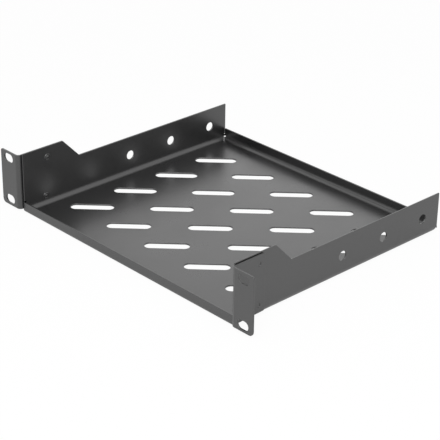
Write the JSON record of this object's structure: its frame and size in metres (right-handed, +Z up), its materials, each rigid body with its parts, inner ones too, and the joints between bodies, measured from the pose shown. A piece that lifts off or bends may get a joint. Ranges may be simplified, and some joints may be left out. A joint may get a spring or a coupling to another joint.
{
  "type": "cantilever rack shelf",
  "caption": "Shallow vented steel tray with raised front walls and welded slotted ears; hangs from the front rails of a half-width equipment rack to carry a small device.",
  "frame": {"origin": "centre of the four mounting slots, on the rear (seating) face of the ears", "axes": "+X to the right seen from the front, +Y back into the rack, +Z up"},
  "size_m": [0.254, 0.1975, 0.0449],
  "materials": {
    "powder_coat": "semi-gloss black powder coat with a fine texture, on folded steel sheet"
  },
  "bodies": {
    "root": {"tray": "powder_coat", "right_ear_bracket": "powder_coat", "left_ear_bracket": "powder_coat"}
  },
  "joints": []
}
